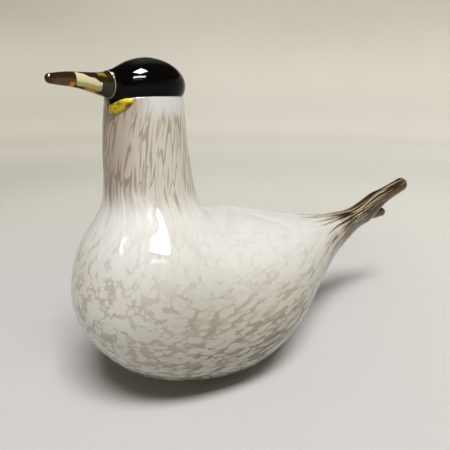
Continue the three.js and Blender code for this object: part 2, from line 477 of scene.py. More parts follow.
    def _tail(self, r: Recipe, at: Reading) -> bpy.types.NodeSocket:
        """The colour of the tail: brown, olive and cream threads, with a dark stub and dark tips.

        Args:
            r: The recipe.
            at: What is known about the point.

        Returns:
            The colour.
        """
        turned = r.node("ShaderNodeVectorRotate", {"rotation_type": "Z_AXIS"}, {
            "Vector": at.flow, "Angle": (at.station - 12.0) * self.thread_twist}).outputs[0]
        threads = r.noise(r.mapped(turned, (5, 2, 4), (1, 1, 1.4)), self.threads, 3.0, 0.55, 0.2)
        root, prongs = r.step(at.station, *self.root_stations), r.step(at.station, *self.prong_stations)
        threads = threads - (root * 0.07 + prongs * 0.06 - at.nape * 0.08)
        colour = r.blend(r.step(threads, *self.olive_from), self.tail_brown, self.tail_olive)
        colour = r.blend(r.step(threads, *self.cream_from), colour, self.tail_cream)
        stub = r.step(at.station, *self.stub_stations) * (1 - r.step(at.height, *self.stub_heights))
        tips = r.step(at.station, *self.tip_stations)
        return r.blend((stub * self.stub_dark).at_least(tips), colour, self.tail_brown)


@dataclass(frozen=True)
class BlackGlass:
    """Black glass with a painted olive glow of light coming through its thin rim at the top and the back, and
    dull in the crease beside the snout.
    """

    black: Colour = tint(7, 6, 6)
    olive: Colour = tint(50, 49, 38)
    rim_light_share: float = 0.9
    rim_light_heights: Span = (0.1805, 0.1843)
    rim_light_back: Span = (-0.0225, -0.0185)
    crease: Triple = (-0.0528, -0.0106, 0.1768)
    crease_reach: Span = (0.0016, 0.0036)

    def material(self) -> bpy.types.Material:
        """The finished material."""
        r = Recipe("black_glass")
        place = r.here()
        cloud = (r.noise(place, 90.0) - 0.5) * 0.004
        # Painted light: an olive glow where light comes through the thin glass along the top and the back.
        top = r.step(r.part_of(place, 2) + cloud, *self.rim_light_heights)
        back = r.step(r.part_of(place, 0) + cloud, *self.rim_light_back)
        colour = r.blend(top.at_least(back) * self.rim_light_share, self.black, self.olive)

        # The dull patch is twice as high as it is wide
        x, y, z = self.crease
        away = r.vector("DISTANCE", {0: r.mapped(place, scale=(1, 1, 0.5)), 1: (x, y, z / 2)}, "Value")
        return r.finish({
            "Base Color": colour, "Roughness": 0.5, "IOR": 1.5, "Specular IOR Level": 0.0,
            "Coat Weight": r.step(Signal(r, away), *self.crease_reach), "Coat Roughness": 0.03,
            "Coat IOR": 1.175})


@dataclass(frozen=True)
class AmberGlass:
    """Smoky glass in bands, with a window of clearer glass between a brown tip and an olive root, painted
    pale where the backdrop shows through it.

    Each span is a stretch of the beak's length, from 0 at the root to 1 at the tip.
    """

    tip: Colour = tint(44, 32, 12)
    brown: Colour = tint(88, 60, 24)
    umber: Colour = tint(50, 35, 14)
    orange: Colour = tint(196, 132, 34)
    pale: Colour = tint(214, 204, 162)
    pale_green: Colour = tint(176, 168, 112)
    olive: Colour = tint(38, 33, 20)
    moss: Colour = tint(150, 134, 44)
    ring: Colour = tint(150, 143, 122)
    window: Span = (0.2, 0.594)
    tip_orange: Span = (0.6, 0.69)
    root_orange: Span = (0.25, 0.45)
    root_moss: Span = (0.1, 0.25)
    ring_end: Span = (0.012, 0.018)
    root_end: Span = (0.57, 0.6)
    tip_start: Span = (0.86, 0.97)
    moss_share: float = 0.8

    def material(self) -> bpy.types.Material:
        """The finished material."""
        r = Recipe("amber_glass")
        wobble = r.noise(r.here(), 300.0) - 0.5
        out = Signal(r, r.noted(Gather.STATION, "Fac")) + wobble * 0.03
        up = (0 - r.part_of(r.noted(Gather.FLOW, "Vector"), 0)) + wobble * 0.5

        colour = r.blend(r.step(up, -0.6, 0.4), self.brown, self.umber)
        colour = r.blend(r.step(out, *self.tip_start), colour, self.tip)
        root = r.blend(r.step(wobble, -0.1, 0.15), self.olive, self.umber)
        colour = r.blend(1 - r.step(out, *self.root_end), colour, root)
        # The window is clearer glass, painted pale and green where the backdrop shows through it.
        top = 0.1 + (out - self.window[0]) * 2.4
        window = self._band(r, out, *self.window, 0.012) * self._band(r, up, -0.78, top, 0.1)
        colour = r.blend(window, colour, r.blend(r.step(up, -0.35, -0.15), self.pale_green, self.pale))
        spot = self._band(r, out, *self.tip_orange, 0.02) * (1 - r.step(up, -0.5, -0.3))
        colour = r.blend(spot, colour, self.orange)
        spot = self._band(r, out, *self.root_orange, 0.03) * (1 - r.step(up, -0.85, -0.7))
        colour = r.blend(spot, colour, self.orange)
        spot = self._band(r, out, *self.root_moss, 0.03) * r.step(up, 0.5, 0.75)
        colour = r.blend(spot * self.moss_share, colour, self.moss)
        colour = r.blend(1 - r.step(out - wobble * 0.03, *self.ring_end), colour, self.ring)
        return r.finish({
            "Base Color": colour, "Roughness": 0.05, "IOR": 1.5, "Transmission Weight": 0.12,
            "Specular IOR Level": 0.3})

    @staticmethod
    def _band(r: Recipe, value: Signal, low: Operand, high: Operand, soft: float) -> Signal:
        """1 where a value lies between low and high, with soft ends."""
        return r.step(value - low, 0.0, soft) * (1 - r.step(value - high, -soft, 0.0))


@dataclass(frozen=True)
class YellowGlass:
    """Golden yellow glass, deeper where it is thick, with a painted highlight along its upper edge."""

    gold: Colour = tint(188, 160, 0)
    deep: Colour = tint(98, 78, 0)
    edge_highlight: Colour = tint(226, 202, 30)
    waist_low: Span = (0.1595, 0.162)
    waist_high: Span = (0.163, 0.1645)
    highlight_heights: Span = (0.1652, 0.1664)
    gold_from: Span = (0.34, 0.5)

    def material(self) -> bpy.types.Material:
        """The finished material."""
        r = Recipe("yellow_glass")
        place = r.here()
        height = r.part_of(place, 2)
        waist = r.step(height, *self.waist_low) * (1 - r.step(height, *self.waist_high))
        cloud = r.noise(place, 240.0) - waist * 0.12
        colour = r.blend(r.step(cloud, *self.gold_from), self.deep, self.gold)
        # Painted highlight along the upper edge.
        colour = r.blend(r.step(height + cloud * 0.003, *self.highlight_heights), colour, self.edge_highlight)
        return r.finish({
            "Base Color": colour, "Roughness": 0.05, "IOR": 1.5, "Specular IOR Level": 0.3,
            "Coat Weight": 0.3, "Coat Roughness": 0.02})


# Forms

@dataclass(frozen=True)
class Slice:
    """One cross-section of a drawn form, an ellipse that leans back from level by its tilt."""

    centre: Vector
    reach: float
    half_width: float
    tilt: float

    @classmethod
    def between(cls, upper: Vector, lower: Vector) -> "Slice":
        """The slice from a point of the upper line to a point of the lower line.

        Args:
            upper: The upper point, with the slice's sideways shift as its y.
            lower: The lower point, with the slice's half width as its y.

        Returns:
            The slice.
        """
        centre = Vector(((upper.x + lower.x) / 2, upper.y, (upper.z + lower.z) / 2))
        across = Vector((upper.x - lower.x, upper.z - lower.z))
        return cls(centre, across.length / 2, lower.y, math.atan2(across.y, across.x))

    @classmethod
    def along(cls, stations: tuple[Station, ...], share: float) -> "Slice":
        """The slice at a share of the way through a row of stations.

        Args:
            stations: In millimetres, the upper x and z, the lower x and z, the half width and the shift.
            share: How far along, from 0 to 1.

        Returns:
            The slice.
        """
        upper = [Vector((s[0], s[5], s[1])) * MM for s in stations]
        lower = [Vector((s[2], s[4], s[3])) * MM for s in stations]
        return cls.between(catmull_rom(upper, share), catmull_rom(lower, share))

    def grown(self, share: float, moved: Vector | None = None) -> "Slice":
        """The same slice, larger by a share and moved."""
        centre = self.centre + (moved or Vector())
        return Slice(centre, self.reach * share, self.half_width * share, self.tilt)

    def spread(self, ring: list[bmesh.types.BMVert]) -> list[Vector]:
        """Even places round this slice for a ring of vertices, each near where it is.

        Args:
            ring: The vertices, in order.

        Returns:
            A place for each of them.
        """
        up = Vector((math.cos(self.tilt), 0.0, math.sin(self.tilt)))
        side = Vector((0.0, 1.0, 0.0))
        middle = middle_of(ring)
        angles = [math.atan2((v.co - middle).dot(side), (v.co - middle).dot(up)) for v in ring]
        step = math.tau / len(ring)
        step = step if math.sin(angles[1] - angles[0]) > 0 else -step
        drift = [angle - index * step for index, angle in enumerate(angles)]
        start = math.atan2(sum(map(math.sin, drift)), sum(map(math.cos, drift)))
        return [self.centre + up * math.cos(start + i * step) * self.reach
                + side * math.sin(start + i * step) * self.half_width for i in range(len(ring))]

    @property
    def onward(self) -> Vector:
        """The direction in which the glass is drawn on from this slice."""
        return Vector((math.sin(self.tilt), 0.0, -math.cos(self.tilt)))


@dataclass
class Gather:
    """Glass on the iron: a form drawn out ring by ring, which notes for each point how the glass flowed."""

    FLOW = "gather"
    STATION = "station"
    PRONG_STATIONS = 3
    ROUND_BY_RING = 3

    name: str
    around: int
    glass: bpy.types.Object = field(init=False)
    last: Slice = field(init=False)

    def start(self, first: Slice) -> None:
        """Opens the form with a ring at its first slice."""
        deselect_everything()
        bpy.ops.mesh.primitive_circle_add(vertices=self.around, radius=1.0, location=(0, 0, 0))
        self.glass = bpy.context.object
        self.glass.name = self.name
        attributes = self.glass.data.attributes
        attributes.new(self.FLOW, "FLOAT_VECTOR", "POINT")
        attributes.new(self.STATION, "FLOAT", "POINT")
        for vertex in self.glass.data.vertices:
            attributes[self.FLOW].data[vertex.index].vector = (vertex.co.x, vertex.co.y, 0.0)
        bpy.ops.object.mode_set(mode="EDIT")
        bpy.ops.mesh.select_all(action="SELECT")
        bpy.ops.transform.resize(value=(first.reach, first.half_width, 1), center_override=(0, 0, 0))
        bpy.ops.transform.rotate(value=first.tilt, orient_axis="Y", center_override=(0, 0, 0))
        bpy.ops.transform.translate(value=first.centre)
        self.last = first

    def draw_to(self, next_slice: Slice, station: float, stretch: float = 1.0, turn: float = 0.0) -> None:
        """Draws the selected ring on to the next slice.

        Args:
            next_slice: Where the ring goes.
            station: The place along the form that the new ring notes.
            stretch: The length in metres over which the flow runs on by one.
            turn: How far the glass is twisted on the way, in radians.
        """
        moved = next_slice.centre - self.last.centre
        bpy.ops.mesh.extrude_region_move(TRANSFORM_OT_translate={"value": moved})
        centre = next_slice.centre
        bpy.ops.transform.rotate(value=-self.last.tilt, orient_axis="Y", center_override=centre)
        grow = (next_slice.reach / self.last.reach, next_slice.half_width / self.last.half_width, 1)
        bpy.ops.transform.resize(value=grow, center_override=centre)
        bpy.ops.transform.rotate(value=next_slice.tilt, orient_axis="Y", center_override=centre)
        self.last = next_slice
        self._note(station, stretch, turn)

    def _edited(self) -> tuple[bmesh.types.BMesh, bmesh.types.BMLayerItem, bmesh.types.BMLayerItem]:
        """The mesh under the hand, with its notes of the flow and the station."""
        mesh = bmesh.from_edit_mesh(self.glass.data)
        layers = mesh.verts.layers
        return mesh, layers.float_vector[self.FLOW], layers.float[self.STATION]

    def _note(self, station: float, stretch: float, turn: float) -> None:
        """Notes on the selected ring how far the glass has run on from the ring before it."""
        mesh, flow, stations = self._edited()
        twist = Matrix.Rotation(turn, 3, "Z")
        for vertex in [v for v in mesh.verts if v.select]:
            origin = [e.other_vert(vertex) for e in vertex.link_edges if not e.other_vert(vertex).select]
            run = (vertex.co - origin[0].co).length / stretch if origin else 0.0
            vertex[flow] = twist @ (Vector(vertex[flow]) + Vector((0, 0, run)))
            vertex[stations] = station
        bmesh.update_edit_mesh(self.glass.data)

    def close(self) -> None:
        """Closes the selected ring with a face."""
        bpy.ops.mesh.edge_face_add()

    def fork(self, lean: float, offset: float, cuts: int) -> tuple[int, int]:
        """Cuts the closed end in two along a chord, as shears cut a soft tail.

        Args:
            lean: The way to the lesser half round the slice, in radians from its upper point towards +Y.
            offset: How far the chord lies from the middle, as a share of the radius.
            cuts: How many points the chord gets.

        Returns:
            How many corners the greater half and the lesser half have.
        """
        mesh, flow, stations = self._edited()
        end = [face for face in mesh.faces if face.select and len(face.verts) == self.around][0]
        ring = list(end.verts)
        toward = Vector((math.cos(lean), math.sin(lean)))
        beyond = [Vector(v[flow][:2]).dot(toward) > offset for v in ring]
        count = len(ring)
        first = next(i for i in range(count) if beyond[i] and not beyond[i - 1])
        last = next(i for i in range(count) if beyond[i] and not beyond[(i + 1) % count])
        start, stop = ring[first - 1], ring[(last + 1) % count]
        shares = [(i + 1) / (cuts + 1) for i in range(cuts)]
        notes = [(Vector(start[flow]).lerp(Vector(stop[flow]), t), start[stations]) for t in shares]
        bmesh.utils.face_split(end, start, stop, coords=[start.co.lerp(stop.co, t) for t in shares])
        mesh.verts.ensure_lookup_table()
        for vertex, note in zip(list(mesh.verts)[-cuts:], notes):
            vertex[flow], vertex[stations] = note
        bmesh.update_edit_mesh(self.glass.data)
        halves = sorted(len(f.verts) for f in mesh.faces if start in f.verts and stop in f.verts)
        return halves[1], halves[0]

    def draw_prong(self, corners: int, slices: list[Slice], station: float, stretch: float) -> None:
        """Draws one half of a forked end on into a prong of its own.

        Args:
            corners: How many corners the half has.
            slices: Where the prong goes, ring by ring.
            station: The place along the form where it starts.
            stretch: The length in metres over which the flow runs on by one.
        """
        mesh = bmesh.from_edit_mesh(self.glass.data)
        face = next(f for f in mesh.faces if len(f.verts) == corners)
        middle = middle_of(face.verts)
        for number, part in enumerate(slices):
            for other in mesh.faces:
                other.select = False
            mesh.select_flush(False)
            face.select = True
            bmesh.update_edit_mesh(self.glass.data)
            bpy.ops.mesh.extrude_region_move(TRANSFORM_OT_translate={"value": part.centre - middle})
            mesh, flow, stations = self._edited()
            face = next(f for f in mesh.faces if f.select)
            ring = list(face.verts)
            middle = part.centre
            rounding = min((number + 1) / self.ROUND_BY_RING, 1.0)
            for vertex, target in zip(ring, part.spread(ring)):
                vertex.co = vertex.co.lerp(target, rounding)
            for vertex in ring:
                before = next(e.other_vert(vertex) for e in vertex.link_edges
                              if e.other_vert(vertex) not in ring)
                run = (vertex.co - before.co).length / stretch
                vertex[flow] = Vector(vertex[flow]) + Vector((0, 0, run))
                vertex[stations] = station + self.PRONG_STATIONS * (number + 1) / len(slices)
            bmesh.update_edit_mesh(self.glass.data)


def deselect_everything() -> None:
    """Leaves edit mode and deselects every object."""
    if bpy.context.object and bpy.context.object.mode != "OBJECT":
        bpy.ops.object.mode_set(mode="OBJECT")
    bpy.ops.object.select_all(action="DESELECT")


def make_active(thing: bpy.types.Object) -> None:
    """Selects one object alone and makes it the active one."""
    deselect_everything()
    thing.select_set(True)
    bpy.context.view_layer.objects.active = thing


def unit_sphere(name: str, segments: int, rings: int) -> bpy.types.Object:
    """Adds a sphere with a radius of 1 at the origin."""
    deselect_everything()
    bpy.ops.mesh.primitive_uv_sphere_add(
        segments=segments, ring_count=rings, radius=1.0, location=(0, 0, 0))
    sphere = bpy.context.object
    sphere.name = name
    return sphere


def subdivide(thing: bpy.types.Object, levels: int) -> None:
    """Rounds a mesh by subdivision and applies it."""
    make_active(thing)
    modifier = thing.modifiers.new("rounding", "SUBSURF")
    modifier.levels = modifier.render_levels = levels
    bpy.ops.object.modifier_apply(modifier=modifier.name)


def dress(thing: bpy.types.Object, material: bpy.types.Material, slot: Slot, *nodes: str) -> None:
    """Gives a finished piece its glass and its place in the frame.

    Args:
        thing: The piece, with its place in its mesh.
        material: Its glass.
        slot: The record's slot for that glass; not used.
        nodes: The CAD nodes that it stands for.
    """
    make_active(thing)
    bpy.ops.object.shade_smooth()
    thing.data.materials.clear()
    thing.data.materials.append(material)
    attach(thing, "root")
    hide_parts(*nodes)
    LOG.info("%s: %d faces", thing.name, len(thing.data.polygons))


@dataclass
class Neck:
    """The seam between the neck and the cap, which dips under the chin."""

    x: float = -37.5 * MM
    radius: float = 19.9 * MM
    seam: float = 167 * MM
    head_turn: float = math.radians(16)
    chin_dip: float = 3.4 * MM
    chin_spread: float = math.radians(16)
    chin_turn: float = math.radians(-3)

    def dip(self, x: float, y: float) -> float:
        """How far the seam drops at a place in the head's frame, whose beak points along -X."""
        turn = (math.atan2(-y, -x) - self.chin_turn) / self.chin_spread
        reach = min(math.hypot(x, y) / self.radius, 1.0)
        return self.chin_dip * math.exp(-turn * turn / 2) * reach * reach

    def dip_on_body(self, x: float, y: float) -> float:
        """The same drop at a place in the body's frame, where the head is turned on the neck."""
        cosine, sine = math.cos(self.head_turn), math.sin(self.head_turn)
        along, across = x - self.x, y
        return self.dip(cosine * along + sine * across, cosine * across - sine * along)

    def turn_head(self, thing: bpy.types.Object) -> None:
        """Turns a piece made in the head's frame on the neck and keeps its place in its mesh."""
        make_active(thing)
        thing.rotation_euler = (0, 0, self.head_turn)
        thing.location = (self.x, 0, 0)
        bpy.ops.object.transform_apply(location=True, rotation=True, scale=True)


@dataclass(frozen=True)
class Prong:
    """One prong of the tail.

    rings is how many rings lead to its tip, and blunt how long the rounded tip is, as a share of its radius.
    """

    stations: tuple[Station, ...]
    rings: int
    blunt: float
    tip_angles: tuple[float, ...] = (30, 55, 75)

    def slices(self) -> list[Slice]:
        """The slices from the fork to the rounded tip."""
        slices = [Slice.along(self.stations, ring / (self.rings - 1)) for ring in range(self.rings)]
        tip = slices[-1]
        back = tip.onward * -tip.reach * self.blunt
        slices[-1] = tip.grown(1.0, back)
        for angle in self.tip_angles:
            turn = math.radians(angle)
            slices.append(tip.grown(math.cos(turn), back * (1 - math.sin(turn))))
        return slices


@dataclass
class Body:
    """The blown body with its neck and its forked tail.

    The lip's steps are how far each ring lies in from the rim and how far it is sunk, in lips.
    """

    neck: Neck
    around: int = 48
    rings_per_span: int = 4
    mouth_share: float = 0.5
    lip: float = 1.3 * MM
    lip_steps: tuple[Span, ...] = ((1.6, 0.0), (0.7, 0.12), (0.2, 0.5), (0.0, 1.2))
    dip_reach: float = 18 * MM
    neck_twist: float = 0.05
    twist_end: float = 2
    fork_lean: float = math.radians(158)
    fork_offset: float = 0.16
    fork_points: int = 9
    belly_stretch: float = 50 * MM
    neck_stretch: float = 200 * MM
    tail_stretch: float = 280 * MM
    neck_end: Span = (2.0, 4.5)
    tail_start: Span = (6.8, 12.5)
    lower_stations: tuple[Station, ...] = (
        (-16.1, 142, -59.8, 144, 21.9, 0),
        (-13.3, 119.5, -60.4, 123, 25.4, 0),
        (-10.5, 107.4, -63, 106.3, 35.6, 0),
        (-2.6, 103, -77, 83.2, 45.6, 0),
        (6.8, 102, -81, 54.3, 49.8, 0),
        (16.6, 102.2, -65.1, 26.2, 51.5, 0),
        (29.1, 99.8, -39.7, 8.6, 52.3, 0),
        (45.7, 95.5, -2.5, -0.8, 50.9, 0),
        (58.9, 92.1, 31.1, 6, 43.5, 0),
        (77.4, 87.8, 65.1, 28.6, 30.4, 0),
        (96.5, 84.4, 95.7, 47.6, 18.4, 0),
        (115.2, 83.5, 120.5, 60.6, 11.5, 0),
        (130.3, 84.2, 135.6, 67.6, 8.2, 0),
        (144.3, 89.0, 148.2, 70.4, 7.2, -0.2))
    long_prong: Prong = Prong((
        (154, 93.6, 157.5, 81.5, 6.2, -2.5),
        (171.5, 99.4, 174.5, 88.3, 5.3, -4),
        (186.8, 104.2, 189.9, 93.8, 4.9, -5)), 9, 0.8)
    short_prong: Prong = Prong((
        (151.5, 78.8, 153, 69.9, 4.5, 4.5),
        (166, 77.8, 167, 69.2, 4.3, 6.2),
        (181, 77.4, 181.8, 69.6, 4.0, 7.2)), 8, 0.9)

    @property
    def stations(self) -> tuple[Station, ...]:
        """The stations from the seam under the cap to the fork."""
        x, radius, seam = self.neck.x / MM, self.neck.radius / MM, self.neck.seam / MM
        return ((x + radius, seam, x - radius, seam, radius, 0), *self.lower_stations)

    def stretch_at(self, station: float) -> float:
        """How many metres of glass carry one unit of flow: few on the belly, many on the neck and tail."""
        neck = (self.neck_stretch - self.belly_stretch) * (1 - smoothstep(station, *self.neck_end))
        tail = (self.tail_stretch - self.belly_stretch) * smoothstep(station, *self.tail_start)
        return self.belly_stretch + neck + tail

    def build(self) -> bpy.types.Object:
        """Draws the body out from the neck to the tail."""
        gather = Gather("opal_body", self.around)
        spans = len(self.stations) - 1
        rings = spans * self.rings_per_span
        mouth = Slice.along(self.stations, 0)
        gather.start(mouth.grown(self.mouth_share))
        gather.close()
        for inward, sunk in self.lip_steps:
            ring = mouth.grown(1 - inward * self.lip / mouth.reach, Vector((0, 0, -sunk * self.lip)))
            gather.draw_to(ring, 0.0, self.stretch_at(0))
        for number in range(1, rings + 1):
            station = number / self.rings_per_span
            turn = self.neck_twist if station <= self.twist_end else 0.0
            part = Slice.along(self.stations, number / rings)
            gather.draw_to(part, station, self.stretch_at(station), turn)
        gather.close()
        long_half, short_half = gather.fork(self.fork_lean, self.fork_offset, self.fork_points)
        gather.draw_prong(long_half, self.long_prong.slices(), spans, self.tail_stretch)
        gather.draw_prong(short_half, self.short_prong.slices(), spans, self.tail_stretch)
        deselect_everything()
        body = gather.glass
        subdivide(body, 2)
        self._settle(body)
        dress(body, OpalGlass().material(), Slot.OPAL, "body")
        return body

    def _settle(self, body: bpy.types.Object) -> None:
        """Dips the seam under the chin and flattens the ground on the underside."""
        for vertex in body.data.vertices:
            near = smoothstep(vertex.co.z, self.neck.seam - self.dip_reach, self.neck.seam)
            vertex.co.z -= near * self.neck.dip_on_body(vertex.co.x, vertex.co.y)
        make_active(body)
        bpy.ops.object.mode_set(mode="EDIT")
        mesh = bmesh.from_edit_mesh(body.data)
        for vertex in mesh.verts:
            vertex.select = vertex.co.z < 0
        mesh.select_flush(True)
        bmesh.update_edit_mesh(body.data)
        bpy.ops.transform.resize(value=(1, 1, 0), center_override=(0, 0, 0))
        deselect_everything()


@dataclass
class Cap:
    """The black cap in the head's frame, whose beak points along -X."""

    neck: Neck
    radius: float = 20.8 * MM
    widest: float = 171.5 * MM
    rise: float = 13.8 * MM
    tuck_rear: float = 13 * MM
    tuck_chin: float = 28 * MM
    forehead_slope: float = 0.13
    fillet: float = 3 * MM
    rim_round: float = 1.2 * MM
    sunk: float = 0.9 * MM
    squareness: float = 0.3
    cheek_turn: float = math.radians(52)
    cheek_spread: float = math.radians(42)
    cheek_fill: float = -2.6 * MM
    side_spread: float = 0.8
    chin_spread: float = 0.6
    forehead_blend: float = 2 * MM
    root: float = 21.9 * MM
    root_radius: float = 6.3 * MM
    root_height: float = 171.9 * MM
    flare: float = 0.25
    flare_length: float = 12 * MM
    segments: int = 160
    heart_x: float = -2 * MM
    furthest: float = 40 * MM
    halvings: int = 30

    def depth(self, p: np.ndarray) -> np.ndarray:
        """How deep points lie inside the cap, in metres.

        Args:
            p: The points, one in a row.

        Returns:
            The depth of each, below 0 outside.
        """
        x, y, z = p[:, 0], p[:, 1], p[:, 2]
        front = np.exp(-(np.arctan2(y, -x) / self.chin_spread) ** 2)
        below = self.tuck_rear + (self.tuck_chin - self.tuck_rear) * front
        height = z - self.widest
        ahead = (np.sqrt(x * x + self.forehead_blend ** 2) - x) / 2
        lift = np.where(height > 0, (height + self.forehead_slope * ahead) / self.rise, height / below)
        turn = np.arctan2(-y, -x)
        square = 1 + self.squareness * np.exp(-((turn - self.cheek_turn) / self.cheek_spread) ** 2)
        lift = np.where(lift > 0, np.abs(lift) ** square, lift)
        dome = (1 - np.sqrt((x * x + y * y) / self.radius ** 2 + lift ** 2)) * self.rise
        flare = np.clip(self.root + x, 0, self.flare_length) * self.flare
        snout = self.root_radius + flare - np.hypot(y, z - self.root_height)
        snout = np.minimum(snout, -x)
        round_snout = np.arctan2(np.abs(y), z - self.root_height)
        beside = np.exp(-((round_snout - math.pi / 2) / self.side_spread) ** 2)
        fillet = self.fillet + self.cheek_fill * beside
        whole = self._join(dome, snout, fillet)
        drop = np.array([self.neck.dip(a, b) for a, b in zip(x, y)])
        floor = z - (self.neck.seam - drop - self.sunk)
        whole = -self._join(-whole, -floor, self.rim_round)
        return np.minimum(whole, self.root + x)

    @staticmethod
    def _join(first: np.ndarray, second: np.ndarray, fillet: Union[float, np.ndarray]) -> np.ndarray:
        """The greater of two depths, with a soft fillet where they meet."""
        mix = np.maximum(fillet - np.abs(first - second), 0) / fillet
        return np.maximum(first, second) + mix * mix * fillet / 4

    def build(self) -> bpy.types.Object:
        """Blows a sphere out to the cap's skin."""
        cap = unit_sphere("black_cap", self.segments, self.segments)
        cap.rotation_euler = (0, math.radians(-90), 0)
        bpy.ops.object.transform_apply(location=False, rotation=True, scale=False)
        heart = np.array([self.heart_x, 0, self.root_height])
        rays = np.array([v.co.normalized() for v in cap.data.vertices])
        inside, outside = np.zeros(len(rays)), np.full(len(rays), self.furthest)
        for _ in range(self.halvings):
            middle = (inside + outside) / 2
            within = self.depth(heart + rays * middle[:, None]) > 0
            inside = np.where(within, middle, inside)
            outside = np.where(within, outside, middle)
        places = heart + rays * inside[:, None]
        cap.data.vertices.foreach_set("co", places.astype(np.float32).ravel())
        cap.data.update()
        self.neck.turn_head(cap)
        dress(cap, BlackGlass().material(), Slot.BLACK, "head_cap")
        return cap


@dataclass
class Beak:
    """The drawn amber rod in the head's frame.

    The profile is the radius at each distance from the root, in millimetres, and the rings are its rings'
    places along its length, closest at the bead and the tip.
    """

    neck: Neck
    cap: Cap
    tip: float = 53.2 * MM
    tip_radius: float = 2.2 * MM
    tip_height: float = 173.9 * MM
    tip_flat: float = 0.25 * MM
    rise_end: float = 0.7
    profile: tuple[Span, ...] = ((1.5, 5.8), (6.5, 4.8), (14.3, 3.7), (24, 2.85))
    bead: float = 0.15 * MM
    bead_place: float = 0.007
    bead_width: float = 0.006
    around: int = 24
    rings: tuple[float, ...] = (
        0.004, 0.009, 0.014, 0.02, 0.04, 0.08, 0.15, 0.25, 0.35, 0.45, 0.55, 0.65, 0.75, 0.85,
        0.9, 0.93, 0.945, 0.96, 0.975, 0.985, 0.993, 0.998)

    def slice_at(self, share: float) -> Slice:
        """The slice at a share of the beak's length, out from the root."""
        length = self.tip - self.cap.root
        straight = length - self.tip_radius
        places = [0, *(place * MM for place, _ in self.profile), straight]
        radii = [self.cap.root_radius, *(radius * MM for _, radius in self.profile), self.tip_radius]
        along = share * length
        radius = float(np.interp(along, places, radii))
        if along > straight:
            radius = math.sqrt(max(self.tip_radius ** 2 - (along - straight) ** 2, self.tip_flat ** 2))
        radius += self.bead * math.exp(-((share - self.bead_place) / self.bead_width) ** 2)
        rise = smoothstep(share, 0, self.rise_end)
        height = self.cap.root_height + (self.tip_height - self.cap.root_height) * rise
        centre = Vector((-self.cap.root - along, 0, height))
        return Slice(centre, radius, radius, math.radians(-90))

    def build(self) -> bpy.types.Object:
        """Draws the rod out from its root."""
        gather = Gather("amber_beak", self.around)
        gather.start(self.slice_at(0))
        gather.close()
        for share in self.rings:
            gather.draw_to(self.slice_at(share), share)
        gather.close()
        beak = gather.glass
        subdivide(beak, 2)
        self.neck.turn_head(beak)
        dress(beak, AmberGlass().material(), Slot.AMBER, "beak")
        return beak


@dataclass
class ThroatDrop:
    """The drop of yellow glass under the chin, in the head's frame."""

    neck: Neck
    start: float = math.radians(-12)
    end: float = math.radians(35)
    below_seam: float = 1.3 * MM
    rise: float = 1 * MM
    hang: float = 4.4 * MM
    bulge: float = 1.8 * MM
    fullness: float = 0.7
    sunk: float = 0.5 * MM
    gap: float = 0.1 * MM
    lean: float = 0.06
    segments: int = 48
    rings: int = 32

    def build(self) -> bpy.types.Object:
        """Lays a sphere on the neck as a lens with a full upper edge."""
        drop = unit_sphere("yellow_drop", self.segments, self.rings)
        middle, half = (self.start + self.end) / 2, (self.end - self.start) / 2
        for vertex in drop.data.vertices:
            across, up, out = vertex.co.x, vertex.co.z, -vertex.co.y
            turn = middle + half * across
            sine, cosine = math.sin(turn), math.cos(turn)
            dip = self.neck.dip(-cosine * self.neck.radius, -sine * self.neck.radius)
            waist = self.neck.seam - dip - self.below_seam
            z = waist + up * (self.rise if up > 0 else self.hang)
            bulge = self.bulge * out ** self.fullness if out > 0 else -self.sunk * abs(out)
            reach = self.neck.radius + (self.neck.seam - z) * self.lean + self.gap + bulge
            vertex.co = (-cosine * reach, -sine * reach, z)
        self.neck.turn_head(drop)
        dress(drop, YellowGlass().material(), Slot.YELLOW, "throat_drop")
        return drop


# Studio

